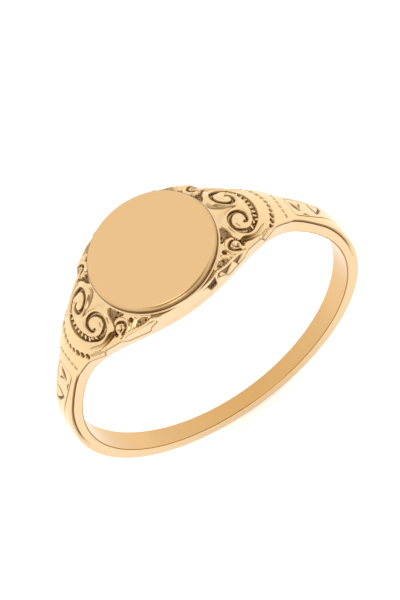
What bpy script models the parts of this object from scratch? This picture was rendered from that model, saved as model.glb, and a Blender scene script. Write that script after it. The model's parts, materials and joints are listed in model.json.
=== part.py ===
"""Gold signet ring with die-struck scroll shoulders and a plain oval face.

Frame: the origin is the centre of the finger hole. +Z goes up through the face, Y is the
finger's axis and X runs from shoulder to shoulder. Angles are measured from +Z towards +X.
"""
import bmesh
import bpy
import numpy as np
from math import ceil, cos, degrees, pi, radians, sin

for old in list(bpy.data.objects):
    bpy.data.objects.remove(old, do_unlink=True)

# Driving dimensions, in metres.
FINGER_RADIUS = 0.00850        # bore of the hoop
SHANK_THICKNESS = 0.00076      # hoop wall at the back and the sides
LINING_THICKNESS = 0.00045     # hoop wall under the shoulders and the head
BACK_HALF_WIDTH = 0.00049      # half the band's width at the back
NECK_HALF_WIDTH = 0.00095      # half the band's width where the shoulders start to flare
HEAD_HALF_WIDTH = 0.00329      # half the band's width under the face
SHOULDER_DROP = 0.00045        # how far the shoulders' edges stay below the face, at their highest
SHANK_CROWN = 0.00007          # crown across the shank
SHOULDER_CROWN = 0.00050       # extra crown across the shoulders beside the face
HEAD_DRAFT = 0.11              # outward lean of the head's walls, width per height
EDGE_CHAMFER = 0.00008         # broken edge along the band
PLATE_LENGTH = 0.00744         # oval face plate, along X
PLATE_WIDTH = 0.00702          # oval face plate, along Y
PLATE_THICKNESS = 0.00035
PLATE_EDGE_ROUND = 0.00012     # rounded rim of the face plate
HEAD_HEIGHT = 0.00220          # height of the face above the bore
LEDGE_THICKNESS = 0.00013      # oval ledge that the plate is soldered to
LEDGE_LIP = 0.00007            # how far the ledge stands out all round the plate
GALLERY_HALF_LENGTH = 0.00200  # half the plain wall between the two shoulders
SOLDER_GAP = 0.00005           # room for solder between touching pieces

# Driving angles, in degrees from the top of the ring.
NECK_ANGLE = 56.0              # the flare ends here
BACK_ANGLE = 180.0
RISE_START = 10.0              # the shoulders are at their full height here
RISE_END = 68.0                # and are level with the shank here
CROWN_START = 15.0
CROWN_END = 60.0
TAIL_ANGLE = 97.0              # the shoulders' thin tails end here

STATION_STEP = 3.0             # degrees between the lofted cross-sections
CROWN_POINTS = 9               # points across the crowned face of a cross-section
OVAL_POINTS = 72
RIM_SEGMENTS = 3               # steps round the face plate's rounded rim
SMOOTH_ANGLE = 35.0            # faces that meet at less than this are shaded smooth
CUT_TOLERANCE = 1e-7

GOLD = (0.83, 0.56, 0.27, 1.0)
BRIGHT_POLISH = 0.12           # roughness of the face
HAND_POLISH = 0.15             # roughness of the hoop, the gallery and the ledge
STRUCK_FINISH = 0.20           # roughness of the die-struck shoulders

# Heights that follow from the stack of plate, ledge and gallery.
PLATE_TOP = FINGER_RADIUS + HEAD_HEIGHT
LEDGE_TOP = PLATE_TOP - PLATE_THICKNESS - SOLDER_GAP
LEDGE_BASE = LEDGE_TOP - LEDGE_THICKNESS
SEAT_HEIGHT = LEDGE_BASE - SOLDER_GAP
LINING_RADIUS = FINGER_RADIUS + LINING_THICKNESS
SHANK_RADIUS = FINGER_RADIUS + SHANK_THICKNESS
SHOULDER_INNER = LINING_RADIUS + SOLDER_GAP
SHOULDER_TOP = PLATE_TOP - SHOULDER_DROP


def ease(value, start, end):
    """1 before start, 0 past end, and half a cosine wave between them."""
    share = min(max((value - start) / (end - start), 0.0), 1.0)
    return 0.5 * (1.0 + cos(pi * share))


def half_width(angle):
    """Half the band's width at the bore."""
    angle = abs(angle)
    if angle < NECK_ANGLE:
        flare = HEAD_HALF_WIDTH - NECK_HALF_WIDTH
        return NECK_HALF_WIDTH + flare * ease(angle, 0.0, NECK_ANGLE)
    taper = NECK_HALF_WIDTH - BACK_HALF_WIDTH
    return BACK_HALF_WIDTH + taper * ease(angle, NECK_ANGLE, BACK_ANGLE)


def edge_radius(angle):
    """Radius of the outer surface along the band's two edges."""
    rise = SHOULDER_TOP - SHANK_RADIUS
    return SHANK_RADIUS + rise * ease(abs(angle), RISE_START, RISE_END)


def crown_height(angle):
    """How far the middle of the outer surface stands above its edges."""
    return SHANK_CROWN + SHOULDER_CROWN * ease(abs(angle), CROWN_START, CROWN_END)


def wall_lean(angle):
    """Slope of the side walls: upright on the shank, leaning out at the head."""
    return HEAD_DRAFT * ease(abs(angle), 0.0, NECK_ANGLE)


def section(angle, inner, edge, crown):
    """One closed cross-section of the band, as points in the ring's frame."""
    narrow = half_width(angle) + wall_lean(angle) * (inner - FINGER_RADIUS)
    wide = half_width(angle) + wall_lean(angle) * (edge - FINGER_RADIUS)
    outline = [(inner, -narrow), (edge - EDGE_CHAMFER, -wide)]
    for across in np.linspace(-1.0, 1.0, CROWN_POINTS):
        outline.append((edge + crown * (1.0 - across ** 2), across * (wide - EDGE_CHAMFER)))
    outline += [(edge - EDGE_CHAMFER, wide), (inner, narrow)]
    turn = radians(angle)
    return [(radius * sin(turn), y, radius * cos(turn)) for radius, y in outline]


def stations(first, last):
    """Evenly spaced angles from first to last."""
    return np.linspace(first, last, ceil((last - first) / STATION_STEP) + 1)


def loft(sections, closed):
    """A bmesh skinned over a row of cross-sections, capped unless it closes on itself."""
    mesh = bmesh.new()
    rings = [[mesh.verts.new(point) for point in points] for points in sections]
    pairs = list(zip(rings, rings[1:]))
    if closed:
        pairs.append((rings[-1], rings[0]))
    for ring, following in pairs:
        for here in range(len(ring)):
            there = (here + 1) % len(ring)
            mesh.faces.new((ring[here], ring[there], following[there], following[here]))
    if not closed:
        mesh.faces.new(rings[0])
        mesh.faces.new(rings[-1])
    bmesh.ops.recalc_face_normals(mesh, faces=mesh.faces)
    return mesh


def oval(length, width, low, high):
    """A bmesh oval disc between two heights."""
    mesh = bmesh.new()
    rim = bmesh.ops.create_circle(mesh, cap_ends=True, radius=0.5, segments=OVAL_POINTS)["verts"]
    bmesh.ops.scale(mesh, vec=(length, width, 1.0), verts=rim)
    bmesh.ops.translate(mesh, vec=(0.0, 0.0, low), verts=rim)
    raised = bmesh.ops.extrude_face_region(mesh, geom=mesh.faces[:])["geom"]
    top = [item for item in raised if isinstance(item, bmesh.types.BMVert)]
    bmesh.ops.translate(mesh, vec=(0.0, 0.0, high - low), verts=top)
    bmesh.ops.recalc_face_normals(mesh, faces=mesh.faces)
    return mesh


def cut_off(mesh, point, outward):
    """Remove what lies beyond a plane and close the cut with a flat face."""
    geometry = mesh.verts[:] + mesh.edges[:] + mesh.faces[:]
    result = bmesh.ops.bisect_plane(
        mesh, geom=geometry, dist=CUT_TOLERANCE, plane_co=point, plane_no=outward, clear_outer=True)
    rim = [item for item in result["geom_cut"] if isinstance(item, bmesh.types.BMEdge)]
    bmesh.ops.holes_fill(mesh, edges=rim)
    bmesh.ops.recalc_face_normals(mesh, faces=mesh.faces)


def gold(name, roughness):
    """Polished yellow gold; each piece has its own copy, so its finish can differ."""
    material = bpy.data.materials.new(name)
    material.use_nodes = True
    shader = material.node_tree.nodes["Principled BSDF"]
    shader.inputs["Base Color"].default_value = GOLD
    shader.inputs["Metallic"].default_value = 1.0
    shader.inputs["Roughness"].default_value = roughness
    return material


def add_piece(name, mesh, roughness):
    """Turn a bmesh into a named, smooth-shaded object with its own material."""
    data = bpy.data.meshes.new(name)
    mesh.to_mesh(data)
    mesh.free()
    data.materials.append(gold(name + "_gold", roughness))
    data.shade_smooth()
    data.set_sharp_from_angle(angle=radians(SMOOTH_ANGLE))
    piece = bpy.data.objects.new(name, data)
    bpy.context.collection.objects.link(piece)
    return piece


def turned(angle):
    """The same direction as an angle between -180 and 180 degrees."""
    return (angle + BACK_ANGLE) % (2.0 * BACK_ANGLE) - BACK_ANGLE


def make_hoop():
    """The hoop: full thickness round the back, a thinner lining under the shoulders."""
    clear = TAIL_ANGLE + degrees(SOLDER_GAP / SHANK_RADIUS)
    sections = []
    for angle in stations(-TAIL_ANGLE, TAIL_ANGLE):
        sections.append(section(angle, FINGER_RADIUS, LINING_RADIUS, 0.0))
    for angle in stations(clear, 2.0 * BACK_ANGLE - clear):
        crown = crown_height(turned(angle))
        sections.append(section(turned(angle), FINGER_RADIUS, SHANK_RADIUS, crown))
    return add_piece("hoop", loft(sections, closed=True), HAND_POLISH)


def make_gallery():
    """The plain polished block between the shoulders, which carries the ledge."""
    reach = 2.0 * degrees(GALLERY_HALF_LENGTH / SHOULDER_INNER)
    sections = [section(angle, SHOULDER_INNER, PLATE_TOP, 0.0)
                for angle in stations(-reach, reach)]
    mesh = loft(sections, closed=False)
    side = GALLERY_HALF_LENGTH - 0.5 * SOLDER_GAP
    cut_off(mesh, (side, 0.0, 0.0), (1.0, 0.0, 0.0))
    cut_off(mesh, (-side, 0.0, 0.0), (-1.0, 0.0, 0.0))
    cut_off(mesh, (0.0, 0.0, SEAT_HEIGHT), (0.0, 0.0, 1.0))
    return add_piece("gallery", mesh, HAND_POLISH)


def make_seat_cutter():
    """Guide solid that takes the ledge's and the plate's room out of the shoulders."""
    room = 2.0 * (LEDGE_LIP + SOLDER_GAP)
    mesh = oval(PLATE_LENGTH + room, PLATE_WIDTH + room, SEAT_HEIGHT, PLATE_TOP + PLATE_THICKNESS)
    cutter = add_piece("seat_cutter", mesh, HAND_POLISH)
    cutter.hide_render = True
    cutter.display_type = "WIRE"
    return cutter


def make_shoulder(name, side, cutter):
    """One die-struck shoulder, from the gallery's end face down to its thin tail."""
    sections = [section(angle, SHOULDER_INNER, edge_radius(angle), crown_height(angle))
                for angle in stations(0.0, TAIL_ANGLE)]
    mesh = loft(sections, closed=False)
    if side < 0:
        bmesh.ops.scale(mesh, vec=(-1.0, 1.0, 1.0), verts=mesh.verts)
        bmesh.ops.reverse_faces(mesh, faces=mesh.faces)
    start = GALLERY_HALF_LENGTH + 0.5 * SOLDER_GAP
    cut_off(mesh, (side * start, 0.0, 0.0), (-side, 0.0, 0.0))
    shoulder = add_piece(name, mesh, STRUCK_FINISH)
    seat = shoulder.modifiers.new("seat", "BOOLEAN")
    seat.operation = "DIFFERENCE"
    seat.solver = "EXACT"
    seat.object = cutter
    return shoulder


def make_plate_ledge():
    """The thin oval ledge under the face plate."""
    lip = 2.0 * LEDGE_LIP
    mesh = oval(PLATE_LENGTH + lip, PLATE_WIDTH + lip, LEDGE_BASE, LEDGE_TOP)
    return add_piece("plate_ledge", mesh, HAND_POLISH)


def make_face_plate():
    """The plain oval face, with its upper rim rounded over."""
    mesh = oval(PLATE_LENGTH, PLATE_WIDTH, PLATE_TOP - PLATE_THICKNESS, PLATE_TOP)
    upper = [edge for edge in mesh.edges
             if min(vert.co.z for vert in edge.verts) > PLATE_TOP - 0.5 * PLATE_THICKNESS]
    bmesh.ops.bevel(mesh, geom=upper, offset=PLATE_EDGE_ROUND, segments=RIM_SEGMENTS,
                    profile=0.5, affect="EDGES")
    return add_piece("face_plate", mesh, BRIGHT_POLISH)


make_hoop()
make_gallery()
seat_cutter = make_seat_cutter()
make_shoulder("shoulder_right", 1, seat_cutter)
make_shoulder("shoulder_left", -1, seat_cutter)
make_plate_ledge()
make_face_plate()
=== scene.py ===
import json
from math import cos, pi, radians, sin, tan

import bmesh
import bpy
import numpy as np
from mathutils import Matrix, Vector


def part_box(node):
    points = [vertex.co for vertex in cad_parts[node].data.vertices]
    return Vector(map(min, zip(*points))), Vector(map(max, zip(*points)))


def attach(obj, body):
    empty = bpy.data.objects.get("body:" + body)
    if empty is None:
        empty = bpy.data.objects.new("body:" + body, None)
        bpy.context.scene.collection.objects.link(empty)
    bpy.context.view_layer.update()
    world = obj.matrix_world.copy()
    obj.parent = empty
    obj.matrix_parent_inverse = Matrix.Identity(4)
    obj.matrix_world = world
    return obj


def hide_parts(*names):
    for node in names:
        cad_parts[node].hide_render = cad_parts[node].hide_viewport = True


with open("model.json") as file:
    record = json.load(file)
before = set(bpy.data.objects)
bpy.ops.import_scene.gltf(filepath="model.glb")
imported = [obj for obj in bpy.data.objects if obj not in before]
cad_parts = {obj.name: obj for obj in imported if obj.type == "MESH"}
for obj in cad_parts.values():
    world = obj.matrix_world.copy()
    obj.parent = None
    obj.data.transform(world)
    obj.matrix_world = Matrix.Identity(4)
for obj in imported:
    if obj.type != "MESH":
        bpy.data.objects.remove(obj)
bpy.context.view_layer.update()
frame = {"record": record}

# ------------------------------------------------
# Hoop. A plain band of yellow gold wire, drawn flat, bent round and soldered shut. It is full
# thickness round the back and thins to a lining under the shoulders. Its side faces are filed
# flat and polished, and they show as the pale wall below the struck shoulders.
# ------------------------------------------------
HOOP_LOW, HOOP_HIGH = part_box("hoop")
PLATE_LOW, PLATE_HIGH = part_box("face_plate")
BORE = frame["record"]["mounts"][0]["dims"]["r_mm"] / 1000
SHANK_CROWN = 0.00007
SHANK_OUTER = -HOOP_LOW[2] - SHANK_CROWN
HEAD_HALF_WIDTH = HOOP_HIGH[1]
NECK_HALF_WIDTH = 0.00095
BACK_HALF_WIDTH = 0.00049
NECK_ANGLE = 56.0            # angles run from the top of the ring, in degrees
TAIL_ANGLE = 97.0            # where the shoulders' tails end
HEAD_END = 11.7              # where the shoulders meet the gallery
SHOULDER_TOP = PLATE_HIGH[2] - 0.00045
SHOULDER_CROWN = 0.00050
HEAD_DRAFT = 0.11
LINING_TOP = 0.00895
WALL_SEAM = 0.000012         # gap between the side wall's top and the skin that lies on it
CORNER_DIP = 0.00026
LEAST_SKIN_WALL = 0.00016    # least height of the skin's own side
BORE_CHAMFER = 0.00003
CHAMFER_LAND = 0.00005       # keeps the chamfer's painted shade line off the side wall
SHANK_ROUND = 0.00010
LINING_ROUND = 0.00001
LINING_SECTIONS = 420
SHANK_SECTIONS = 180
SECTION_GAP = 0.05           # between the last lining section and the first of the shank


def ease(value, start, end):
    """1 before start, 0 past end, and half a cosine wave between them."""
    share = np.clip((value - start) / (end - start), 0.0, 1.0)
    return 0.5 * (1.0 + np.cos(pi * share))


def half_width(angle):
    """Half the band's width at the bore."""
    angle = np.abs(angle)
    flare = (HEAD_HALF_WIDTH - NECK_HALF_WIDTH) * ease(angle, 0.0, NECK_ANGLE)
    taper = (NECK_HALF_WIDTH - BACK_HALF_WIDTH) * (1.0 - ease(angle, NECK_ANGLE, 180.0))
    return NECK_HALF_WIDTH + flare - taper


def edge_radius(angle):
    """Radius of the outer surface along the band's edges."""
    return SHANK_OUTER + (SHOULDER_TOP - SHANK_OUTER) * ease(np.abs(angle), 10.0, 68.0)


def crown_height(angle):
    """How far the middle of the outer surface stands above its edges."""
    return SHANK_CROWN + SHOULDER_CROWN * ease(np.abs(angle), 15.0, 60.0)


def side_half_width(angle, radius):
    """Half the width across the side walls, which lean out at the head."""
    lean = HEAD_DRAFT * ease(np.abs(angle), 0.0, NECK_ANGLE)
    return half_width(angle) + lean * (radius - BORE)


def smooth_line(knots, count):
    """Points at even steps along a smooth curve through the knots."""
    knots = np.asarray(knots, float)
    ends = np.vstack([2 * knots[0] - knots[1], knots, 2 * knots[-1] - knots[-2]])
    place = np.linspace(0.0, len(knots) - 1 - 1e-9, 40 * len(knots))
    index = place.astype(int)
    t = (place - index)[:, None]
    before, start, stop, after = (ends[index + k] for k in range(4))
    curve = 0.5 * (2 * start + (stop - before) * t
                   + (2 * before - 5 * start + 4 * stop - after) * t ** 2
                   + (3 * start - before - 3 * stop + after) * t ** 3)
    run = np.concatenate([[0.0], np.cumsum(np.linalg.norm(np.diff(curve, axis=0), axis=1))])
    even = np.linspace(0.0, run[-1], count)
    return np.stack([np.interp(even, run, column) for column in curve.T], axis=1)


# The scalloped line where the struck skin ends on the plain wall, as angle and radius in
# millimetres: under the corner leaf, round the wing, then along the straight flange.
LIP_LINE = smooth_line([
    (10.5, 9.95), (12.0, 9.80), (14.5, 9.50), (16.5, 9.10), (20.5, 9.16), (24.0, 9.24),
    (25.4, 9.55), (26.2, 9.98), (28.4, 9.93), (31.0, 9.70), (33.5, 9.36), (35.8, 8.99),
    (37.6, 9.18), (39.4, 9.48), (41.2, 9.68), (44.0, 9.62), (48.0, 9.48), (52.0, 9.34),
    (58.6, 9.22), (65.0, 9.14), (72.0, 9.08), (81.0, 9.02), (90.0, 8.98), (97.0, 9.00)], 500)


def head_dip(angle):
    """How far the shoulder's edge drops behind the small scrolls at the corners of the face."""
    angle = np.abs(angle)
    return CORNER_DIP * (1.0 - ease(angle, 21.0, 25.0)) * ease(angle, 28.0, 40.0)


def lip_radius(angle):
    """Radius where the struck skin ends on the side wall, kept below the skin's rounded edge."""
    line = np.interp(np.abs(angle), LIP_LINE[:, 0], LIP_LINE[:, 1]) / 1000
    return np.minimum(line, edge_radius(angle) - head_dip(angle) - LEAST_SKIN_WALL)


def around(angle, radius, y):
    """Ring coordinates to points, the angle turning from +Z towards +X."""
    turn = np.radians(angle)
    return np.stack(np.broadcast_arrays(radius * np.sin(turn), y, radius * np.cos(turn)), axis=-1)


def skin(name, rows, closed):
    """A closed mesh over rows of points; each row is a loop, and the rows may close too."""
    count, ring = rows.shape[:2]
    grid = np.arange(count * ring).reshape(count, ring)
    after = np.roll(grid, -1, axis=1)
    quads = np.stack([grid, after, np.roll(after, -1, axis=0), np.roll(grid, -1, axis=0)], axis=-1)
    faces = (quads if closed else quads[:-1]).reshape(-1, 4).tolist()
    if not closed:
        faces += [grid[0][::-1].tolist(), grid[-1].tolist()]
    mesh = bpy.data.meshes.new(name)
    mesh.from_pydata(rows.reshape(-1, 3).tolist(), [], faces)
    mesh.update()
    return mesh


def face_outward(mesh, sharp_degrees):
    """Turn the faces outwards and shade them smooth, keeping the hard edges."""
    shape = bmesh.new()
    shape.from_mesh(mesh)
    bmesh.ops.recalc_face_normals(shape, faces=shape.faces)
    if shape.calc_volume(signed=True) < 0:
        bmesh.ops.reverse_faces(shape, faces=shape.faces)
    shape.to_mesh(mesh)
    shape.free()
    mesh.shade_smooth()
    mesh.set_sharp_from_angle(angle=radians(sharp_degrees))


def hoop_section(outer, low, high, crown, edge_round):
    """(radius, y) pairs of one section: flat bore, flat sides and a crowned outside."""
    half = [(BORE, 0.0), (BORE, low - BORE_CHAMFER), (BORE + BORE_CHAMFER, low),
            (BORE + BORE_CHAMFER + CHAMFER_LAND, low)]
    for share in (0.2, 0.4, 0.6, 0.8):
        radius = BORE + BORE_CHAMFER + CHAMFER_LAND
        radius += share * (outer - edge_round - radius)
        half.append((radius, low + share * (high - low)))
    for turn in np.linspace(0.0, 0.5 * pi, 6):
        half.append((outer - edge_round + edge_round * sin(turn),
                     high - edge_round + edge_round * cos(turn)))
    for share in (0.85, 0.65, 0.45, 0.25):
        half.append((outer + crown * (1 - share ** 2), share * (high - edge_round)))
    top = [(outer + crown, 0.0)]
    return half + top + [(radius, -y) for radius, y in reversed(half[1:])]


def hoop_rows():
    """Sections all the way round: the lining up to the struck skin, then the full shank."""
    rows = []
    lining = np.linspace(-TAIL_ANGLE, TAIL_ANGLE, LINING_SECTIONS)
    shank = np.linspace(TAIL_ANGLE + SECTION_GAP, 360.0 - TAIL_ANGLE - SECTION_GAP, SHANK_SECTIONS)
    for turned in np.concatenate([lining, shank]):
        angle = (turned + 180.0) % 360.0 - 180.0
        full = abs(angle) > TAIL_ANGLE
        outer = float(edge_radius(angle)) if full else float(lip_radius(angle)) - WALL_SEAM
        if abs(angle) < HEAD_END:
            outer = LINING_TOP
        pairs = np.array(hoop_section(outer, float(half_width(angle)),
                                      float(side_half_width(angle, outer)),
                                      SHANK_CROWN if full else 0.0,
                                      SHANK_ROUND if full else LINING_ROUND))
        rows.append(around(angle, pairs[:, 0], pairs[:, 1]))
    return np.array(rows)


def link(tree, source, target):
    """Join an output socket to an input socket."""
    tree.links.new(source, target)


def maths_node(tree, operation, *values):
    """The result of a Math node, whose inputs are numbers or output sockets."""
    node = tree.nodes.new("ShaderNodeMath")
    node.operation = operation
    for socket, value in zip(node.inputs, values):
        if isinstance(value, float):
            socket.default_value = value
        else:
            link(tree, value, socket)
    return node.outputs["Value"]


def node_group(name, kind, inputs, outputs):
    """An empty node group with its named sockets, and its input and output nodes."""
    group = bpy.data.node_groups.new(name, kind)
    for in_out, sockets in (("INPUT", inputs), ("OUTPUT", outputs)):
        for label, value in sockets:
            group.interface.new_socket(label, in_out=in_out, socket_type="NodeSocket" + value)
    return group, group.nodes.new("NodeGroupInput"), group.nodes.new("NodeGroupOutput")


def polish_marks_group():
    """Fine buffing scratches: a normal for the surface and a mask of rubbed streaks."""
    group, start, end = node_group(
        "polish_marks", "ShaderNodeTree", (("Scale", "Float"), ("Strength", "Float")),
        (("Normal", "Vector"), ("Streaks", "Float")))
    place = group.nodes.new("ShaderNodeTexCoord")
    stretch = group.nodes.new("ShaderNodeMapping")
    stretch.inputs["Scale"].default_value = (0.35, 1.0, 1.0)
    noise = group.nodes.new("ShaderNodeTexNoise")
    noise.inputs["Detail"].default_value = 3.0
    noise.inputs["Roughness"].default_value = 0.65
    bump = group.nodes.new("ShaderNodeBump")
    bump.inputs["Distance"].default_value = 0.00001
    link(group, place.outputs["Object"], stretch.inputs["Vector"])
    link(group, stretch.outputs["Vector"], noise.inputs["Vector"])
    link(group, start.outputs["Scale"], noise.inputs["Scale"])
    link(group, start.outputs["Strength"], bump.inputs["Strength"])
    link(group, noise.outputs["Fac"], bump.inputs["Height"])
    link(group, bump.outputs["Normal"], end.inputs["Normal"])
    link(group, noise.outputs["Fac"], end.inputs["Streaks"])
    return group


def tarnish_and_shade_group():
    """Gold darkened by a mask of tarnish and painted shade: a colour and a roughness from the
    mask, where 1 is full tarnish and shade and 2 is a near-black painted shade line."""
    group, start, end = node_group(
        "tarnish_in_hollows", "ShaderNodeTree",
        (("Metal", "Color"), ("Shade_And_Tarnish_Colour", "Color"), ("Shade_And_Tarnish", "Float"), ("Streaks", "Float"),
         ("Polish", "Float")), (("Colour", "Color"), ("Roughness", "Float")))
    mix = group.nodes.new("ShaderNodeMix")
    mix.data_type = "RGBA"
    past_full_darkening = maths_node(group, "SUBTRACT", start.outputs["Shade_And_Tarnish"], 1.0)
    shade_line = group.nodes.new("ShaderNodeMix")
    shade_line.data_type = "RGBA"
    # Painted shade: the near-black colour that mask values past 1 give, used for dark shade lines.
    shade_line.inputs["B"].default_value = (0.10, 0.045, 0.012, 1.0)
    rubbed = maths_node(group, "MULTIPLY_ADD", start.outputs["Streaks"], 0.05,
                        start.outputs["Polish"])
    dulled = maths_node(group, "MULTIPLY_ADD", start.outputs["Shade_And_Tarnish"], 0.16, rubbed)
    link(group, start.outputs["Shade_And_Tarnish"], mix.inputs["Factor"])
    link(group, start.outputs["Metal"], mix.inputs["A"])
    link(group, start.outputs["Shade_And_Tarnish_Colour"], mix.inputs["B"])
    link(group, past_full_darkening, shade_line.inputs["Factor"])
    link(group, mix.outputs["Result"], shade_line.inputs["A"])
    link(group, shade_line.outputs["Result"], end.inputs["Colour"])
    link(group, dulled, end.inputs["Roughness"])
    return group


POLISH_MARKS = polish_marks_group()
TARNISH_AND_SHADE = tarnish_and_shade_group()


def gold_material(name, colour, tarnish_and_shade_colour, polish, scratch_scale, scratch_strength):
    """Gold with buffing marks, darkened with tarnish and painted shade where the mesh carries
    their mask.

    polish is its roughness where it is clean.
    """
    material = bpy.data.materials.new(name)
    material.use_nodes = True
    tree = material.node_tree
    shader = tree.nodes["Principled BSDF"]
    shader.inputs["Metallic"].default_value = 1.0
    marks = tree.nodes.new("ShaderNodeGroup")
    marks.node_tree = POLISH_MARKS
    marks.inputs["Scale"].default_value = scratch_scale
    marks.inputs["Strength"].default_value = scratch_strength
    finish = tree.nodes.new("ShaderNodeGroup")
    finish.node_tree = TARNISH_AND_SHADE
    finish.inputs["Metal"].default_value = (*colour, 1.0)
    finish.inputs["Shade_And_Tarnish_Colour"].default_value = (*tarnish_and_shade_colour, 1.0)
    finish.inputs["Polish"].default_value = polish
    mask = tree.nodes.new("ShaderNodeAttribute")
    mask.attribute_name = "tarnish_and_shade"
    link(tree, mask.outputs["Fac"], finish.inputs["Shade_And_Tarnish"])
    link(tree, marks.outputs["Streaks"], finish.inputs["Streaks"])
    link(tree, finish.outputs["Colour"], shader.inputs["Base Color"])
    link(tree, finish.outputs["Roughness"], shader.inputs["Roughness"])
    link(tree, marks.outputs["Normal"], shader.inputs["Normal"])
    return material


def set_mask(mesh, name, values):
    """Store a value for each point of a mesh, which materials and node trees read."""
    mesh.attributes.new(name, "FLOAT", "POINT").data.foreach_set("value", np.ravel(values))


def placed(name, data):
    """A new object that holds this data, in the scene."""
    thing = bpy.data.objects.new(name, data)
    bpy.context.collection.objects.link(thing)
    return thing


def finish_piece(name, mesh, material, node):
    """Place a finished mesh as a piece of the ring, standing for its CAD node."""
    mesh.materials.clear()
    mesh.materials.append(material)
    piece = placed(name, mesh)
    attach(piece, "root")
    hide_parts(node)


PALE_GOLD = (0.69, 0.505, 0.295)
DEEP_GOLD = (0.47, 0.22, 0.02)
BORE_DARKENING = 0.42             # darkening of the bore, in the tarnish and shade mask
BACK_DARKENING = 0.22             # more darkening added at the back
BACK_SPREAD = 38.0           # degrees over which that falls off
CHAMFER_SHADE = 1.9           # painted shade: a near-black line on the chamfers at the edges of the bore
hoop_lines = hoop_rows()
hoop_mesh = skin("hoop_band", hoop_lines, closed=True)
face_outward(hoop_mesh, sharp_degrees=40.0)
from_back = np.abs(np.degrees(np.arctan2(hoop_lines[:, 0, 0], -hoop_lines[:, 0, 2])))
hoop_darkening = np.zeros(hoop_lines.shape[:2])
# The bore is painted darker, most at the back of the ring.
hoop_darkening[:, [0, 1, -1]] = (BORE_DARKENING + BACK_DARKENING * np.exp(-(from_back / BACK_SPREAD) ** 2))[:, None]
# Painted shade: a near-black line along the bore's edge chamfers.
hoop_darkening[:, [2, -2]] = CHAMFER_SHADE
set_mask(hoop_mesh, "tarnish_and_shade", hoop_darkening)
hoop_gold = gold_material("hoop_gold", PALE_GOLD, DEEP_GOLD,
                          polish=0.12, scratch_scale=2500.0, scratch_strength=0.25)
finish_piece("hoop_band", hoop_mesh, hoop_gold, "hoop")

# ------------------------------------------------
# Gallery. The plain wall under the middle of the face, filed from flat gold stock and soldered
# down on the lining between the two shoulders. Beside the right shoulder a wedge of its wall is
# sunk and beaded with a punch; on the left only the solder seam shows.
# ------------------------------------------------
LEDGE_LOW, LEDGE_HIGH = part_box("plate_ledge")
GALLERY_END = tan(radians(HEAD_END - 0.06))
GALLERY_FLOOR = LINING_TOP + 0.00002
GALLERY_TOP = LEDGE_LOW[2] - 0.00005
WEDGE_DEPTH = 0.00014
WEDGE_WALL = 0.06            # this and the outline are in millimetres, as x and z
BEAD_RADIUS = 0.00008
BEAD_SPACING = 0.00017
# Near-black colour of the sunk wedge: tarnish and painted shade.
WEDGE_TARNISH_AND_SHADE = (0.16, 0.08, 0.04)
WEDGE = [(1.92, 10.02), (1.45, 9.80), (0.84, 9.82), (1.24, 9.50), (1.32, 8.98), (1.80, 8.98)]


def inside(s, q, outline):
    """Whether places on a flat map lie inside a closed outline."""
    result = np.zeros(s.shape, bool)
    s0, q0 = outline[-1]
    for s1, q1 in outline:
        if q1 != q0:
            crosses = (q1 > q) != (q0 > q)
            result ^= crosses & (s < (s0 - s1) * (q - q1) / (q0 - q1) + s1)
        s0, q0 = s1, q1
    return result


def outline_gap(s, q, outline):
    """Distance to a closed outline, negative inside it."""
    best = np.full(s.shape, 1e9)
    s0, q0 = outline[-1]
    for s1, q1 in outline:
        along = np.array([s1 - s0, q1 - q0])
        share = ((s - s0) * along[0] + (q - q0) * along[1]) / (along @ along)
        share = np.clip(share, 0.0, 1.0)
        best = np.minimum(best, np.hypot(s - s0 - share * along[0], q - q0 - share * along[1]))
        s0, q0 = s1, q1
    return np.where(inside(s, q, outline), -best, best)


def step(gap, wall):
    """0 outside an edge, 1 once a wall's width inside it, with a smooth ramp between."""
    share = np.clip(-gap / wall, 0.0, 1.0)
    return share * share * (3.0 - 2.0 * share)


def helper(name, points, edges, faces, mirrored):
    """A tool or guide mesh that a node tree reads; it is removed once the piece is made."""
    mesh = bpy.data.meshes.new(name)
    points = np.array(points) * np.array([-1.0 if mirrored else 1.0, 1.0, 1.0])
    mesh.from_pydata(points.tolist(), edges, faces)
    mesh.shade_smooth()
    return placed(name, mesh)


def shape_tree(name, *inputs):
    """An empty geometry tree that takes and gives a shape, with the named inputs."""
    shape = ("Geometry", "Geometry")
    return node_group(name, "GeometryNodeTree", (shape, *inputs), (shape,))


def end_tree(tree, start, end, geometry):
    """Close a tree with Realize Instances and Set Material."""
    real = tree.nodes.new("GeometryNodeRealizeInstances")
    paint = tree.nodes.new("GeometryNodeSetMaterial")
    link(tree, geometry, real.inputs["Geometry"])
    link(tree, real.outputs["Geometry"], paint.inputs["Geometry"])
    link(tree, start.outputs["Material"], paint.inputs["Material"])
    link(tree, paint.outputs["Geometry"], end.inputs["Geometry"])


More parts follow.
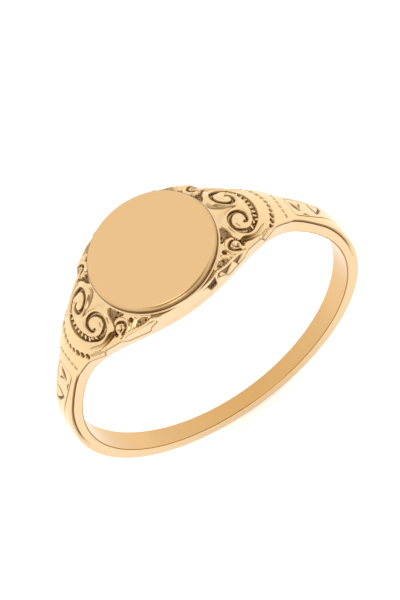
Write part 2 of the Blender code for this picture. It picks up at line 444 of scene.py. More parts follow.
def matted_ground_tree():
    """Scatters small raised grains over the faces that the matted mask marks."""
    tree, start, end = shape_tree(
        "matted_ground", ("Grain", "Object"), ("Spacing", "Float"), ("Mask From", "Float"),
        ("Seed", "Int"), ("Material", "Material"))
    grain = tree.nodes.new("GeometryNodeObjectInfo")
    mask = tree.nodes.new("GeometryNodeInputNamedAttribute")
    mask.inputs["Name"].default_value = "matted"
    chosen = tree.nodes.new("FunctionNodeCompare")
    chosen.operation = "GREATER_THAN"
    scatter = tree.nodes.new("GeometryNodeDistributePointsOnFaces")
    scatter.distribute_method = "POISSON"
    scatter.inputs["Density Max"].default_value = 4.0e8
    size = tree.nodes.new("FunctionNodeRandomValue")
    size.inputs[2].default_value = 0.6
    size.inputs[3].default_value = 1.2
    place = tree.nodes.new("GeometryNodeInstanceOnPoints")
    join = tree.nodes.new("GeometryNodeJoinGeometry")
    link(tree, start.outputs["Grain"], grain.inputs["Object"])
    link(tree, mask.outputs["Attribute"], chosen.inputs[0])
    link(tree, start.outputs["Mask From"], chosen.inputs[1])
    link(tree, start.outputs["Geometry"], scatter.inputs["Mesh"])
    link(tree, chosen.outputs["Result"], scatter.inputs["Selection"])
    link(tree, start.outputs["Spacing"], scatter.inputs["Distance Min"])
    link(tree, start.outputs["Seed"], scatter.inputs["Seed"])
    link(tree, start.outputs["Seed"], size.inputs["Seed"])
    link(tree, scatter.outputs["Points"], place.inputs["Points"])
    link(tree, scatter.outputs["Rotation"], place.inputs["Rotation"])
    link(tree, size.outputs[1], place.inputs["Scale"])
    link(tree, grain.outputs["Geometry"], place.inputs["Instance"])
    link(tree, start.outputs["Geometry"], join.inputs["Geometry"])
    link(tree, place.outputs["Instances"], join.inputs["Geometry"])
    end_tree(tree, start, end, join.outputs["Geometry"])
    return tree


def add_tree(piece, tree, **values):
    """Put a node tree on a piece and set its named inputs."""
    modifier = piece.modifiers.new(tree.name, "NODES")
    modifier.node_group = tree
    for item in tree.interface.items_tree:
        name = item.name.replace(" ", "_")
        if item.in_out == "INPUT" and name in values:
            modifier[item.identifier] = values[name]


def plain_result(piece):
    """The piece with its trees worked out, as a plain mesh."""
    bpy.context.view_layer.update()
    seen = piece.evaluated_get(bpy.context.evaluated_depsgraph_get())
    mesh = bpy.data.meshes.new_from_object(seen)
    piece.modifiers.clear()
    return mesh


def grain_shape(radius):
    """A round grain of a few faces: its points, no loose edges, and its faces."""
    shape = bmesh.new()
    bmesh.ops.create_icosphere(shape, subdivisions=1, radius=radius)
    points = [tuple(vertex.co) for vertex in shape.verts]
    faces = [tuple(vertex.index for vertex in face.verts) for face in shape.faces]
    shape.free()
    return points, [], faces


MATTED_GROUND = matted_ground_tree()


def gallery_mesh():
    """Sections across the gallery from left to right, closer together by the wedge."""
    rows = []
    masks = []
    for slope in np.concatenate([np.linspace(-1.0, 0.3, 30), np.linspace(0.32, 1.0, 64)]):
        slope *= GALLERY_END
        floor = GALLERY_FLOOR / (1.0 + slope ** 2) ** 0.5
        z = np.linspace(floor, GALLERY_TOP, 60)
        x = slope * z
        near = side_half_width(np.degrees(np.arctan2(x, z)), np.hypot(x, z))
        sunk = step(outline_gap(x * 1000, z * 1000, WEDGE), WEDGE_WALL)
        rows.append(np.concatenate([np.stack([x, WEDGE_DEPTH * sunk - near, z], axis=1),
                                    np.stack([x, near, z], axis=1)[::-1]]))
        masks.append(np.concatenate([sunk, np.zeros(len(z))]))
    mesh = skin("gallery_wall", np.array(rows), closed=False)
    # The sunk wedge is darkened with tarnish and painted shade.
    set_mask(mesh, "tarnish_and_shade", masks)
    set_mask(mesh, "matted", masks)
    face_outward(mesh, sharp_degrees=40.0)
    return mesh


gallery_gold = gold_material("gallery_gold", PALE_GOLD, WEDGE_TARNISH_AND_SHADE,
                             polish=0.14, scratch_scale=2500.0, scratch_strength=0.25)
gallery = placed("gallery_blank", gallery_mesh())
bead = helper("bead", *grain_shape(BEAD_RADIUS), mirrored=False)
add_tree(gallery, MATTED_GROUND, Grain=bead, Spacing=BEAD_SPACING, Mask_From=0.9, Seed=2,
         Material=gallery_gold)
gallery_wall = plain_result(gallery)
for spare in (bead, gallery):
    bpy.data.objects.remove(spare)
finish_piece("gallery_wall", gallery_wall, gallery_gold, "gallery")

# ------------------------------------------------
# Shoulders. Two thick gold skins struck between steel dies, trimmed to a scalloped edge and
# soldered over the lining. Each carries a pair of sunk scrolls, a small scroll and a leaf at
# each corner of the face, a punched row of dots, a row of dashes and a panel with two leaves.
# ------------------------------------------------
MAP_RADIUS = 10.4            # map length per radian round the ring, in millimetres
EDGE_FILLET = 0.00010
UNDERSIDE_LIFT = 0.00004     # the skin's hidden underside, over the hoop and in from the lip
UNDERSIDE_INSET = 0.00010
LEDGE_CLEARANCE = 0.00002    # kept clear round the plate ledge
LEDGE_SEAT_GAP = 0.00003     # kept clear under it

# Lines and outlines on the unrolled shoulder, as length from the top and distance from the
# middle in millimetres. A pit has a radius as well.
SCROLL_CHANNEL = [(5.20, 1.00), (5.40, 0.95), (5.48, 0.75), (5.38, 0.47), (5.10, 0.34),
                  (4.72, 0.42), (4.44, 0.64), (4.32, 0.95), (4.36, 1.18), (4.53, 1.37),
                  (4.82, 1.47), (5.15, 1.49), (5.50, 1.38), (5.82, 1.13), (6.06, 0.80),
                  (6.19, 0.40), (6.23, 0.0)]
CHANNEL_HALF = (0.07, 0.11, 0.13, 0.13, 0.12, 0.14, 0.15, 0.15, 0.14, 0.14, 0.14, 0.14, 0.16,
                0.19, 0.22, 0.23, 0.24)
SCROLL_RIM = [(5.45, 0.02), (5.10, 0.09), (4.72, 0.20), (4.35, 0.43), (4.15, 0.78), (4.16, 1.15),
              (4.38, 1.51), (4.75, 1.69), (5.20, 1.71), (5.63, 1.59), (6.02, 1.36)]
SCROLL_RIBBON = [(5.45, 0.10), (5.66, 0.35), (5.74, 0.70), (5.70, 1.02), (5.50, 1.24),
                 (5.20, 1.30), (4.90, 1.21), (4.72, 1.0)]
SMALL_RIM = [(3.92, 1.80), (3.62, 1.84), (3.40, 2.04), (3.36, 2.32), (3.55, 2.52), (3.86, 2.60),
             (4.20, 2.53), (4.47, 2.40)]
SMALL_CHANNEL = [(4.00, 1.92), (3.76, 1.96), (3.58, 2.12), (3.58, 2.30), (3.74, 2.43),
                 (3.98, 2.46), (4.22, 2.40)]
SMALL_HOOK = [(3.80, 2.22), (3.84, 2.06), (4.04, 2.00), (4.21, 2.12), (4.16, 2.28), (3.98, 2.33)]
CORNER_LEAF = [(2.03, 3.12), (2.50, 3.10), (2.90, 3.01), (3.26, 2.89), (3.62, 2.74),
               (3.95, 2.64), (4.40, 2.48)]
WING_VALLEY = [(4.44, 2.02), (4.72, 1.89), (5.19, 1.84), (5.71, 1.69), (6.12, 1.46), (6.42, 1.26)]
WING_RIDGE = [(4.64, 2.14), (4.90, 2.06), (5.20, 1.99), (5.52, 1.92), (5.88, 1.82)]
TONGUE_VALLEY = [(3.86, 0.62), (4.00, 0.42), (4.30, 0.24), (4.70, 0.10), (5.20, 0.02)]
CROSS_RIB = [(2.86, 2.50), (3.10, 2.56), (3.30, 2.66), (3.52, 2.72)]
GROUND_BY_SCROLL = [(3.42, 1.15), (3.72, 0.92), (3.94, 1.18), (4.06, 1.50), (4.32, 1.80),
                    (4.66, 1.98), (4.62, 2.24), (4.36, 2.20), (4.12, 1.84), (3.85, 1.72),
                    (3.55, 1.76), (3.30, 1.92), (3.10, 1.85)]
GROUND_BY_LEAF = [(2.55, 2.66), (2.90, 2.62), (3.24, 2.76), (3.05, 2.96), (2.66, 3.08),
                  (2.30, 3.10), (2.28, 2.90)]
SIDE_GRAIN = [(5.95, 1.72), (6.35, 1.52), (6.75, 1.36), (6.85, 1.52), (6.55, 1.95),
              (6.20, 2.30), (6.00, 2.05)]
PITS = [(3.14, 2.36, 0.17), (3.46, 1.50, 0.11), (3.78, 1.62, 0.11), (4.12, 1.90, 0.12),
        (2.52, 2.92, 0.09), (2.86, 2.78, 0.09)]
PANEL_BORDER = [(9.34, 0.0), (9.36, 0.40), (9.52, 0.60), (10.1, 0.62), (11.4, 0.52),
                (12.6, 0.36), (13.6, 0.26), (15.0, 0.20)]
SMALL_EYE_CUT = [(3.76, 2.14), (3.90, 2.27), (4.06, 2.26), (4.12, 2.12)]
EYE = (4.90, 0.82)           # the round boss that each scroll winds about
EYE_RADIUS = 0.30
TOOTH_START = 1.95
TOOTH_PITCH = 0.95
TOOTH_LENGTH = 0.68
# Sunk grounds, each with the width of its wall and its depth.
GROUNDS = ((GROUND_BY_SCROLL, 0.10, 0.17), (GROUND_BY_LEAF, 0.08, 0.10))
# Carved lines, each with its half widths from start to end and its depth or its rise.
CHANNELS = ((SCROLL_CHANNEL, CHANNEL_HALF, 0.20),
            (SMALL_CHANNEL, (0.05, 0.07, 0.08, 0.08, 0.07, 0.06), 0.13))
RAISED_LINES = ((SCROLL_RIM, (0.06, 0.11, 0.11, 0.12, 0.12, 0.13, 0.11), 0.075),
                (SCROLL_RIBBON, (0.12, 0.12, 0.12, 0.11), 0.06),
                (SMALL_RIM, (0.08, 0.10, 0.10, 0.09), 0.07),
                (SMALL_HOOK, (0.10, 0.09, 0.09, 0.06), 0.08),
                (CROSS_RIB, (0.06, 0.08, 0.07), 0.09),
                (CORNER_LEAF, (0.05, 0.11, 0.13, 0.12, 0.11, 0.10, 0.06), 0.13),
                (WING_RIDGE, (0.05, 0.09, 0.10, 0.09, 0.06), 0.09))
LEAF_CUTS = [([(9.66, 0.28), (9.84, 0.12), (10.02, -0.04), (10.20, -0.22)],
              (0.08, 0.20, 0.20, 0.10), 0.15),
             ([(10.60, 0.32), (10.44, 0.16), (10.34, -0.02)], (0.05, 0.09, 0.06), 0.08),
             ([(11.50, 0.40), (11.66, 0.12), (11.89, -0.18)], (0.07, 0.13, 0.10), 0.10),
             ([(12.55, 0.60), (12.76, 0.50), (12.65, 0.26), (12.30, 0.02), (11.96, -0.18)],
              (0.06, 0.11, 0.12, 0.10, 0.06), 0.11),
             ([(10.35, -0.48), (10.65, -0.44), (10.90, -0.50)], (0.04, 0.07, 0.04), 0.06)]


def line_share(s, q, knots, halves):
    """Distance from a carved line as a share of its half width, and the gap to its edge."""
    line = smooth_line(knots, 30 * len(knots))
    width = np.interp(np.linspace(0, 1, len(line)), np.linspace(0, 1, len(halves)), halves)
    reach = max(halves) + 0.15
    low, high = line.min(axis=0) - reach, line.max(axis=0) + reach
    near = (s > low[0]) & (s < high[0]) & (q > low[1]) & (q < high[1])
    share, gap = np.full(s.shape, 9.0), np.full(s.shape, 9.0)
    if near.any():
        span = np.hypot(s[near][:, None] - line[:, 0], q[near][:, None] - line[:, 1])
        share[near] = (span / width).min(axis=1)
        gap[near] = (span - width).min(axis=1)
    return share, gap


def rib(share):
    """Round-backed rib: 1 along its line, falling to 0 at its edges."""
    return np.clip(1.0 - share ** 2, 0.0, 1.0)


def press(relief, depth, dark):
    """Sink the struck surface by a depth and darken it there with tarnish and painted shade."""
    relief["height"] -= depth
    relief["tarnish_and_shade"] = np.maximum(relief["tarnish_and_shade"], dark)


def press_grounds(relief, s, q):
    """The sunk and matted parts, darkened with tarnish and painted shade: grounds between the
    scrolls, round pits, and channels with a painted shadow down their walls.
    """
    for outline, wall, depth in GROUNDS:
        ground = step(outline_gap(s, q, outline), wall)
        press(relief, depth * ground, ground * np.clip(0.45 + 0.45 * (s - 3.2), 0.45, 0.95))
        relief["matted"] = np.maximum(relief["matted"], ground)
    for centre_s, centre_q, radius in PITS:
        pit = step(np.hypot(s - centre_s, q - centre_q) - radius, 0.8 * radius)
        press(relief, 1.1 * radius * pit, pit)
    for knots, halves, depth in CHANNELS:
        share, gap = line_share(s, q, knots, halves)
        # Painted shadow: a dark band down each channel's walls.
        wall = np.clip(1.15 - np.abs(gap + 0.035) / 0.045, 0.0, 1.0)
        press(relief, depth * step(gap, 0.09), np.maximum(0.30 * step(gap, 0.05), wall))
        relief["matted"] = np.maximum(relief["matted"], 0.45 * (share < 0.75))


def raise_scrolls(relief, s, q, y, edge):
    """The raised rims, ribbons, hooks and leaves, lower by the far edge, and the eyes."""
    raised = np.zeros(s.shape)
    for knots, halves, rise in RAISED_LINES:
        share, _ = line_share(s, q, knots, halves)
        raised = np.maximum(raised, rise * rib(share))
        relief["tarnish_and_shade"] *= 1.0 - rib(share)
    relief["height"] += raised * np.where(y > 0, np.clip((edge - q) / 0.4, 0.1, 1.0), 1.0)
    cut, _ = line_share(s, q, SMALL_EYE_CUT, (0.04, 0.06, 0.06, 0.04))
    press(relief, 0.10 * rib(cut), 0.9 * rib(cut))
    from_eye = np.hypot(s - EYE[0], q - EYE[1])
    eye = rib(from_eye / EYE_RADIUS)
    height = relief["height"]
    relief["height"] = np.where(eye > 0, np.maximum(height, 0.13 * eye - 0.07), height)
    relief["tarnish_and_shade"] *= 1.0 - step(from_eye - 0.9 * EYE_RADIUS, 0.06)


def cut_wing(relief, s, q, y, edge, toothed):
    """The valley beside the wing, the cuts under the corner leaf, and the tongue's valley, each
    darkened with painted shade.
    """
    valley, _ = line_share(s, q, WING_VALLEY, (0.12, 0.16, 0.15, 0.13, 0.10, 0.04))
    # Painted shade in the wing's valley, darker nearer the head.
    fade = 0.35 + 0.65 * ease(s, 4.8, 5.7)
    press(relief, 0.17 * fade * rib(valley), fade * rib(valley))
    sawtooth = np.abs(2.0 * ((s - TOOTH_START) / TOOTH_PITCH % 1.0) - 1.0)
    teeth = edge + 0.22 + TOOTH_LENGTH * toothed * sawtooth
    notch = np.clip((teeth - q) / 0.05, 0.0, 1.0) * np.clip((q - edge - 0.03) / 0.04, 0.0, 1.0)
    notch *= ease(s, 4.0, 4.4) * (1.0 - ease(s, 2.15, 2.25))
    # Painted shadow in the notches under the corner leaf.
    press(relief, 0.08 * notch, notch)
    # Painted shade: the tongue's valley is much darker on the far side, y > 0.
    tongue, _ = line_share(s, q, TONGUE_VALLEY, (0.20, 0.20, 0.16, 0.10, 0.05))
    press(relief, np.where(y > 0, 0.10, 0.04) * rib(tongue) ** 1.5,
          np.where(y > 0, 0.55, 0.1) * rib(tongue))


def cut_tail(relief, s, q, y, edge, drop):
    """The leaf panel between flanges on the tail, the grained side, and the wall to the lip, with
    painted shade in a dark band down the wall and a dark line above the lip.
    """
    tail = (1.0 - ease(s, 8.3, 9.4)) * ease(s, 12.5, 17.4)
    flange = np.clip((q - edge + 0.26) / 0.26, 0.0, 1.3) * np.clip((edge + 0.1 - q) / 0.05, 0, 1)
    press(relief, 0.10 * flange * tail, 0.0)
    _, gap = line_share(s, q, PANEL_BORDER, (0.03, 0.05, 0.05, 0.05, 0.05, 0.04, 0.03, 0.02))
    border = step(gap, 0.04)
    press(relief, 0.07 * border, 0.8 * border)
    for knots, halves, depth in LEAF_CUTS:
        share, _ = line_share(s, y, knots, halves)
        press(relief, depth * rib(share), np.clip(1.5 * rib(share), 0.0, 1.0))
    grain = step(outline_gap(s, q, SIDE_GRAIN), 0.06)
    press(relief, 0.02 * grain, 0.25 * grain)
    relief["matted"] = np.maximum(relief["matted"], grain)
    # Painted shade: a dark band down the tail's side wall.
    wall = np.clip((q - edge - 0.06) / 0.08, 0.0, 1.0) * tail
    press(relief, 0.05 * wall, 0.85 * wall)
    # Painted shadow: a dark line just above the lip.
    lip_line = np.clip(1.4 - np.abs(drop - 0.03) / 0.06, 0.0, 1.0) * ease(s, 15.2, 17.2)
    press(relief, 0.0, np.where(q > edge, lip_line, 0.0))
    rolled = np.clip(1.0 - drop / 0.16, 0.0, 1.0)
    relief["height"] += np.where(q > edge, 0.05 * rib(1.0 - rolled) * ease(s, 8.3, 9.4), 0.0)


def struck_relief(s, q, y, edge, drop, toothed):
    """Height over the plain shoulder in millimetres, with its mask of tarnish and painted shade
    and its matted mask.

    s is length from the top, q distance from the middle over the edge and down the wall,
    y the signed distance, edge the q of the wall's upper edge, drop the height above the lip.
    A toothed skin has deep cuts in its wall under the corner leaf, a plain one a thin line.
    """
    relief = {layer: np.zeros(s.shape) for layer in ("height", "tarnish_and_shade", "matted")}
    press_grounds(relief, s, q)
    raise_scrolls(relief, s, q, y, edge)
    cut_wing(relief, s, q, y, edge, toothed)
    cut_tail(relief, s, q, y, edge, drop)
    return relief["height"], relief["tarnish_and_shade"], relief["matted"]


def shoulder_grid(toothed):
    """Points of a right shoulder with its masks of tarnish and painted shade and of matted ground.
    """
    angles = np.concatenate([np.linspace(HEAD_END, 52.0, 206), np.linspace(52.0, 74.0, 72)[1:],
                             np.linspace(74.0, TAIL_ANGLE, 20)[1:]])[:, None]
    dip = head_dip(angles)
    edge = edge_radius(angles) - dip
    wide = side_half_width(angles, edge)
    lip = lip_radius(angles)
    v = np.linspace(0.0, 1.0, 92)[None, :]
    turn = np.linspace(0.0, 0.5 * pi, 7)[None, 1:]
    down = np.linspace(0.0, 1.0, 34)[None, 1:]
    top_y = (wide - EDGE_FILLET) * v
    top_r = edge + (crown_height(angles) + dip) * (1.0 - v ** 2)
    turn_y = wide - EDGE_FILLET + EDGE_FILLET * np.sin(turn)
    turn_r = edge - EDGE_FILLET + EDGE_FILLET * np.cos(turn)
    side_r = edge - EDGE_FILLET + (lip - edge + EDGE_FILLET) * down
    side_y = side_half_width(angles, side_r)
    radius = np.concatenate([top_r, turn_r, side_r], axis=1)
    y = np.concatenate([top_y, turn_y, side_y], axis=1)
    q = np.concatenate([top_y, turn_y + edge - turn_r, side_y + edge - side_r], axis=1) * 1000
    s = np.radians(angles) * MAP_RADIUS + 0.0 * q
    base = around(angles + 0.0 * radius, radius, y)
    normal = np.cross(np.gradient(base, axis=0), np.gradient(base, axis=1))
    normal /= np.linalg.norm(normal, axis=-1, keepdims=True)
    normal[:, 0, 1] = 0.0
    halves, masks = [], []
    for sign in (-1.0, 1.0):
        height, tarnish_and_shade, matted = struck_relief(s, q, sign * q, 1000 * wide + 0.0 * q,
                                               1000 * (radius - lip), toothed)
        points = base + normal * (height[..., None] / 1000)
        halves.append(points * np.array([1.0, sign, 1.0]))
        masks.append(np.stack([tarnish_and_shade, matted], axis=-1))
    across = np.linspace(1.0, -1.0, 11)[None, 1:-1]
    under_y = across * (side_half_width(angles, lip) - UNDERSIDE_INSET)
    under = around(angles + 0.0 * under_y, lip + UNDERSIDE_LIFT + 0.0 * under_y, under_y)
    rows = np.concatenate([halves[0][:, ::-1], halves[1][:, 1:], under], axis=1)
    mask = np.concatenate([masks[0][:, ::-1], masks[1][:, 1:], 0.0 * under[..., :2]], axis=1)
    seat = LEDGE_LOW[2] - LEDGE_SEAT_GAP
    reach_x = LEDGE_HIGH[0] + LEDGE_CLEARANCE
    reach_y = LEDGE_HIGH[1] + LEDGE_CLEARANCE
    covered = (rows[..., 0] / reach_x) ** 2 + (rows[..., 1] / reach_y) ** 2 < 1.0
    rows[..., 2] = np.where(covered, np.minimum(rows[..., 2], seat), rows[..., 2])
    return rows, mask


def surface_point(s, y, lift):
    """A point over the right shoulder at a place on its map, in metres."""
    angle = np.degrees(np.asarray(s, float) / MAP_RADIUS)
    y = np.asarray(y, float) / 1000
    across = np.clip(1.0 - (y / side_half_width(angle, edge_radius(angle))) ** 2, 0.0, 1.0)
    radius = edge_radius(angle) + crown_height(angle) * across + lift / 1000
    return around(angle, radius, y)


PUNCH_FLAT = 0.45            # share of a mark's radius that is sunk to its full depth
DOT_ROW = (7.50, -0.27)      # place on the map at the middle, and bow per square millimetre
DASH_ROW = (8.44, 0.14)
DOT_PITCH = 0.325
LAST_DOT = 1.5
WIDE_DOTS_FROM = 0.6
DOT_HALF = 0.012
DASH_HALF = 0.055
DASH_REACH = 0.80
DASHES = 6
# Radius and depth of each kind of mark.
PUNCHES = {"dots": (0.00015, 0.00018), "wide_dots": (0.00019, 0.00022),
           "dashes": (0.00009, 0.00011)}
BARS = 12
BAR_DEPTH = -0.10
GRAIN_RADIUS = 0.000042
GRAIN_SPACING = 0.000085


def punched_row_tree():
    """Sinks the surface round every mark and adds it to the mask of tarnish and painted shade."""
    tree, start, end = shape_tree(
        "punched_row", ("Marks", "Object"), ("Radius", "Float"), ("Depth", "Float"),
        ("Material", "Material"))
    marks = tree.nodes.new("GeometryNodeObjectInfo")
    near = tree.nodes.new("GeometryNodeProximity")
    near.target_element = "EDGES"
    inner = maths_node(tree, "MULTIPLY", start.outputs["Radius"], PUNCH_FLAT)
    ramp = tree.nodes.new("ShaderNodeMapRange")
    ramp.interpolation_type = "SMOOTHSTEP"
    old = tree.nodes.new("GeometryNodeInputNamedAttribute")
    old.inputs["Name"].default_value = "tarnish_and_shade"
    darker = maths_node(tree, "MAXIMUM", old.outputs["Attribute"], ramp.outputs["Result"])
    store = tree.nodes.new("GeometryNodeStoreNamedAttribute")
    store.inputs["Name"].default_value = "tarnish_and_shade"
    sunk = maths_node(tree, "MULTIPLY", ramp.outputs["Result"], start.outputs["Depth"])
    down = maths_node(tree, "MULTIPLY", sunk, -1.0)
    normal = tree.nodes.new("GeometryNodeInputNormal")
    offset = tree.nodes.new("ShaderNodeVectorMath")
    offset.operation = "SCALE"
    move = tree.nodes.new("GeometryNodeSetPosition")
    link(tree, start.outputs["Marks"], marks.inputs["Object"])
    link(tree, marks.outputs["Geometry"], near.inputs[0])
    link(tree, near.outputs["Distance"], ramp.inputs["Value"])
    link(tree, start.outputs["Radius"], ramp.inputs["From Min"])
    link(tree, inner, ramp.inputs["From Max"])
    link(tree, start.outputs["Geometry"], store.inputs["Geometry"])
    link(tree, darker, store.inputs["Value"])
    link(tree, normal.outputs["Normal"], offset.inputs["Vector"])
    link(tree, down, offset.inputs["Scale"])
    link(tree, store.outputs["Geometry"], move.inputs["Geometry"])
    link(tree, offset.outputs["Vector"], move.inputs["Offset"])
    end_tree(tree, start, end, move.outputs["Geometry"])
    return tree


def bars_along_tree():
    """Lays bars across a path at even steps, each standing up from the surface."""
    tree, start, end = shape_tree(
        "bars_along", ("Path", "Object"), ("Bar", "Object"), ("Count", "Int"),
        ("Material", "Material"))
    path = tree.nodes.new("GeometryNodeObjectInfo")
    bar = tree.nodes.new("GeometryNodeObjectInfo")
    curve = tree.nodes.new("GeometryNodeMeshToCurve")
    even = tree.nodes.new("GeometryNodeResampleCurve")
    normal = tree.nodes.new("GeometryNodeInputNormal")
    surface = tree.nodes.new("GeometryNodeSampleNearestSurface")
    surface.data_type = "FLOAT_VECTOR"
    upright = tree.nodes.new("FunctionNodeAlignRotationToVector")
    upright.axis = "Z"
    tangent = tree.nodes.new("GeometryNodeInputTangent")
    along = tree.nodes.new("FunctionNodeAlignRotationToVector")
    along.axis = "X"
    along.pivot_axis = "Z"
    place = tree.nodes.new("GeometryNodeInstanceOnPoints")
    join = tree.nodes.new("GeometryNodeJoinGeometry")
    link(tree, start.outputs["Path"], path.inputs["Object"])
    link(tree, start.outputs["Bar"], bar.inputs["Object"])
    link(tree, path.outputs["Geometry"], curve.inputs["Mesh"])
    link(tree, curve.outputs["Curve"], even.inputs["Curve"])
    link(tree, start.outputs["Count"], even.inputs["Count"])
    link(tree, start.outputs["Geometry"], surface.inputs["Mesh"])
    link(tree, normal.outputs["Normal"], surface.inputs["Value"])
    link(tree, surface.outputs["Value"], upright.inputs["Vector"])
    link(tree, upright.outputs["Rotation"], along.inputs["Rotation"])
    link(tree, tangent.outputs["Tangent"], along.inputs["Vector"])
    link(tree, even.outputs["Curve"], place.inputs["Points"])
    link(tree, bar.outputs["Geometry"], place.inputs["Instance"])
    link(tree, along.outputs["Rotation"], place.inputs["Rotation"])
    link(tree, start.outputs["Geometry"], join.inputs["Geometry"])
    link(tree, place.outputs["Instances"], join.inputs["Geometry"])
    end_tree(tree, start, end, join.outputs["Geometry"])
    return tree


def dot_marks(first, wide_punch):
    """Punch marks of the dotted arc, a very short edge at each; the outer ones are wider."""
    points, edges = [], []
    for y in np.arange(first, LAST_DOT, DOT_PITCH):
        if (y > WIDE_DOTS_FROM) != wide_punch:
            continue
        for sign in ((-1.0, 1.0) if y > 0 else (1.0,)):
            s = DOT_ROW[0] + DOT_ROW[1] * y * y
            pair = surface_point([s - DOT_HALF, s + DOT_HALF], [sign * y, sign * y], 0.0)
            edges.append((len(points), len(points) + 1))
            points.extend(pair.tolist())
    return points, edges


def dash_marks():
    """Punch marks of the dashed row: one edge along the row for each dash."""
    points, edges = [], []
    for middle in np.linspace(-DASH_REACH, DASH_REACH, DASHES):
        y = np.array([middle - DASH_HALF, middle + DASH_HALF])
        pair = surface_point(DASH_ROW[0] + DASH_ROW[1] * y * y, y, 0.0)
        edges.append((len(points), len(points) + 1))
        points.extend(pair.tolist())
    return points, edges


def bar_shape():
    """A small bar with a rounded back that crosses the channel along its own y axis."""
    points, faces = [], []
    for across in (-0.17, -0.10, 0.10, 0.17):
        tip = 0.6 if abs(across) > 0.15 else 1.0
        for turn in np.linspace(0.0, pi, 6):
            points.append((0.065 * tip * cos(turn), across, 0.12 * tip * sin(turn) - 0.08))
    for ring in range(3):
        for k in range(6):
            a, b = ring * 6 + k, ring * 6 + (k + 1) % 6
            faces.append((a, b, b + 6, a + 6))
    faces += [tuple(range(5, -1, -1)), tuple(range(18, 24))]
    return (np.array(points) / 1000).tolist(), faces


PUNCHED_ROW = punched_row_tree()
BARS_ALONG = bars_along_tree()
BAR_PATH = [(5.50, -1.38), (5.82, -1.13), (6.06, -0.80), (6.19, -0.40), (6.23, 0.0),
            (6.19, 0.40), (6.06, 0.80), (5.82, 1.13), (5.50, 1.38)]
STRUCK_GOLD = (0.69, 0.495, 0.265)
# Dark colour of the shoulders' tarnish and painted shade.
SCROLL_TARNISH_AND_SHADE = (0.15, 0.072, 0.018)
struck_gold = gold_material("struck_gold", STRUCK_GOLD, SCROLL_TARNISH_AND_SHADE,
                            polish=0.17, scratch_scale=3000.0, scratch_strength=0.3)


def struck_shoulder(name, mirrored, first_dot, seed):
    """One shoulder with its punched rows, channel bars and matted grounds.

    first_dot is how far from the middle the dotted arc starts on each side.
    """
    rows, mask = shoulder_grid(0.0 if mirrored else 1.0)
    mesh = skin(name, rows, closed=False)
    set_mask(mesh, "tarnish_and_shade", mask[..., 0])
    set_mask(mesh, "matted", mask[..., 1])
    if mirrored:
        mesh.transform(Matrix.Scale(-1.0, 4, (1.0, 0.0, 0.0)))
    face_outward(mesh, sharp_degrees=70.0)
    piece = placed(name + "_blank", mesh)
    guides = []
    marks = {"dots": dot_marks(first_dot, False), "wide_dots": dot_marks(first_dot, True),
             "dashes": dash_marks()}
    for label, (points, edges) in marks.items():
        row = helper(label, points, edges, [], mirrored)
        radius, depth = PUNCHES[label]
        add_tree(piece, PUNCHED_ROW, Marks=row, Radius=radius, Depth=depth, Material=struck_gold)
        guides.append(row)
    path = smooth_line(BAR_PATH, 60)
    line = surface_point(path[:, 0], path[:, 1], BAR_DEPTH)
    bar_line = helper("bar_path", line, [(k, k + 1) for k in range(len(line) - 1)], [], mirrored)
    points, faces = bar_shape()
    bar = helper("bar", points, [], faces, mirrored=False)
    grain = helper("grain", *grain_shape(GRAIN_RADIUS), mirrored=False)
    add_tree(piece, MATTED_GROUND, Grain=grain, Spacing=GRAIN_SPACING, Mask_From=0.4, Seed=seed,
             Material=struck_gold)
    add_tree(piece, BARS_ALONG, Path=bar_line, Bar=bar, Count=BARS, Material=struck_gold)
    result = plain_result(piece)
    for spare in guides + [bar_line, bar, grain, piece]:
        bpy.data.objects.remove(spare)
    return result


right_mesh = struck_shoulder("shoulder_scrolls_right", mirrored=False, first_dot=0.16, seed=4)
left_mesh = struck_shoulder("shoulder_scrolls_left", mirrored=True, first_dot=0.0, seed=9)
finish_piece("shoulder_scrolls_right", right_mesh, struck_gold, "shoulder_right")
finish_piece("shoulder_scrolls_left", left_mesh, struck_gold, "shoulder_left")

# ------------------------------------------------
# Plate ledge. A thin oval bezel of sheet gold under the face, a hair wider than it, that the
# face is soldered onto. Only its rounded bright edge shows, as a fine line round the face.
# ------------------------------------------------
def oval_piece(name, low, high, profile, count):
    """A closed oval disc between two heights; the profile lists (inset, height share)."""
    turn = np.linspace(0.0, 2 * pi, count, endpoint=False)
    rows = []
    for inset, share in profile:
        x = (high[0] - inset) * np.cos(turn)
        y = (high[1] - inset) * np.sin(turn)
        z = np.full(count, low[2] + (high[2] - low[2]) * share)
        rows.append(np.stack([x, y, z], axis=1))
    return skin(name, np.array(rows), closed=False)


LEDGE_PROFILE = [(0.0026, 0.0), (0.0012, 0.0), (0.00005, 0.0), (0.00001, 0.12), (0.0, 0.35),
                 (0.0, 0.6), (0.00001, 0.8), (0.00003, 0.93), (0.00006, 1.0), (0.0012, 1.0),
                 (0.0026, 1.0)]
ledge_mesh = oval_piece("plate_ledge_edge", LEDGE_LOW, LEDGE_HIGH, LEDGE_PROFILE, 240)
face_outward(ledge_mesh, sharp_degrees=50.0)
finish_piece("plate_ledge_edge", ledge_mesh, gallery_gold, "plate_ledge")

# ------------------------------------------------
# Face plate. A flat oval of gold sheet, left blank for a seal, with a softly rounded rim that
# carries painted shade, darker down its rounding. It is soldered down on its ledge and buffed
# flat, so it carries only the finest wear marks.
# ------------------------------------------------
PLATE_THICK = PLATE_HIGH[2] - PLATE_LOW[2]
RIM_ROUND = 0.00026
FACE_GOLD = (0.62, 0.405, 0.193)
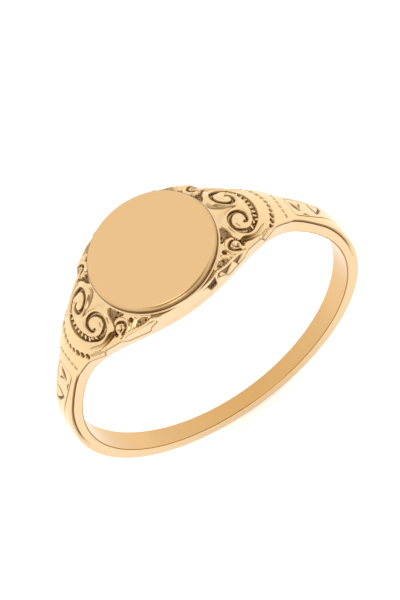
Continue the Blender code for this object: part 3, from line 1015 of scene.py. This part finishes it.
# Colour of the painted shade down the rim.
RIM_SHADE_COLOUR = (0.20, 0.105, 0.030)
PLATE_PROFILE = [(0.0034, 0.0), (0.0020, 0.0), (0.00003, 0.0), (0.0, 0.1), (0.0, 0.3), (0.0, 0.5)]
for lift in np.linspace(0.0, 0.5 * pi, 9)[1:]:
    PLATE_PROFILE.append((RIM_ROUND * (1.0 - cos(lift)),
                          1.0 - RIM_ROUND / PLATE_THICK * (1.0 - sin(lift))))
PLATE_PROFILE += [(inset, 1.0) for inset in (0.0004, 0.0010, 0.0018, 0.0026, 0.0034)]
plate_mesh = oval_piece("face_plate_blank", PLATE_LOW, PLATE_HIGH, PLATE_PROFILE, 288)
face_outward(plate_mesh, sharp_degrees=50.0)
heights = np.array([vertex.co.z for vertex in plate_mesh.vertices])
rim_shade = np.clip((PLATE_HIGH[2] - 0.1 * RIM_ROUND - heights) / (0.9 * RIM_ROUND), 0.0, 1.0)
set_mask(plate_mesh, "tarnish_and_shade", rim_shade)
face_gold = gold_material("face_gold", FACE_GOLD, RIM_SHADE_COLOUR,
                          polish=0.16, scratch_scale=1500.0, scratch_strength=0.15)
finish_piece("face_plate_blank", plate_mesh, face_gold, "face_plate")

# ------------------------------------------------
# Studio. White paper under the ring, lit a little from below so that it stays white, and a
# white light tent round it, with soft lights in front and overhead. A camera with a long lens
# looks down on the face.
# ------------------------------------------------
CAMERA_DISTANCE = 0.300
CAMERA_RISE = 59.605
CAMERA_AZIMUTH = 1.223
CAMERA_ROLL = 34.82
CAMERA_AIM = (0.00064, 0.00145, 0.00086)
CAMERA_LENS = 217.75
FLOOR_GAP = 0.0002
PAPER_WHITE = (0.96, 0.96, 0.96, 1.0)
PAPER_GLOW = 0.27
TENT_WHITE = (1.35, 1.35, 1.35, 1.0)
CAMERA_SIDE = (0.55, 0.48, 0.40, 1.0)      # the darker side of the tent, round the lens


def aimed(rise, azimuth):
    """Right, up and forward vectors of something that looks down at the ring."""
    forward = Vector((cos(rise) * sin(azimuth), cos(rise) * cos(azimuth), -sin(rise)))
    right = Vector((cos(azimuth), -sin(azimuth), 0.0))
    return right, right.cross(forward), forward


right, up, forward = aimed(radians(CAMERA_RISE), radians(CAMERA_AZIMUTH))
camera_lens = bpy.data.cameras.new("camera")
camera_lens.sensor_fit = "VERTICAL"
camera_lens.sensor_height = 24.0
camera_lens.lens = CAMERA_LENS
camera_lens.clip_start = 0.01
camera_lens.clip_end = 5.0
camera = placed("camera", camera_lens)
rolled = Matrix.Rotation(-radians(CAMERA_ROLL), 3, "Z")
facing = Matrix((right, up, -forward)).transposed() @ rolled
stand = Matrix.Translation(Vector(CAMERA_AIM) - CAMERA_DISTANCE * forward)
camera.matrix_world = stand @ facing.to_4x4()
bpy.context.scene.camera = camera

floor_z = HOOP_LOW[2] - FLOOR_GAP
corners = [(-1, -1, floor_z), (1, -1, floor_z), (1, 1, floor_z), (-1, 1, floor_z)]
floor_mesh = bpy.data.meshes.new("floor")
floor_mesh.from_pydata(corners, [], [(0, 1, 2, 3)])
paper = bpy.data.materials.new("white_paper")
paper.use_nodes = True
paper_look = paper.node_tree.nodes["Principled BSDF"].inputs
paper_look["Base Color"].default_value = PAPER_WHITE
paper_look["Roughness"].default_value = 0.9
paper_look["Emission Color"].default_value = (1.0, 1.0, 1.0, 1.0)
paper_look["Emission Strength"].default_value = PAPER_GLOW
floor_mesh.materials.append(paper)
floor = placed("floor", floor_mesh)


def soft_light(name, rise, azimuth, distance, size, power):
    """A square soft box at a height angle and azimuth, turned to the ring."""
    right, up, forward = aimed(radians(rise), radians(azimuth))
    lamp = bpy.data.lights.new(name, "AREA")
    lamp.shape = "SQUARE"
    lamp.size = size
    lamp.energy = power
    light = placed(name, lamp)
    light.matrix_world = (Matrix.Translation(-distance * forward)
                          @ Matrix((right, up, -forward)).transposed().to_4x4())


soft_light("front_soft_box", rise=28.0, azimuth=10.0, distance=0.9, size=0.30, power=0.7)
soft_light("top_soft_box", rise=82.0, azimuth=40.0, distance=1.0, size=0.35, power=0.6)

world = bpy.data.worlds.new("light_tent")
bpy.context.scene.world = world
world.use_nodes = True
sky = world.node_tree
direction = sky.nodes.new("ShaderNodeTexCoord")
toward_lens = sky.nodes.new("ShaderNodeVectorMath")
toward_lens.operation = "DOT_PRODUCT"
toward_lens.inputs[1].default_value = tuple(-forward)
spread = sky.nodes.new("ShaderNodeMapRange")
spread.interpolation_type = "SMOOTHSTEP"
spread.inputs["From Min"].default_value = cos(radians(42.0))
spread.inputs["From Max"].default_value = cos(radians(16.0))
tent = sky.nodes.new("ShaderNodeMix")
tent.data_type = "RGBA"
tent.inputs["A"].default_value = TENT_WHITE
tent.inputs["B"].default_value = CAMERA_SIDE
link(sky, direction.outputs["Generated"], toward_lens.inputs[0])
link(sky, toward_lens.outputs["Value"], spread.inputs["Value"])
link(sky, spread.outputs["Result"], tent.inputs["Factor"])
link(sky, tent.outputs["Result"], sky.nodes["Background"].inputs["Color"])
bpy.context.scene.view_settings.view_transform = "Standard"
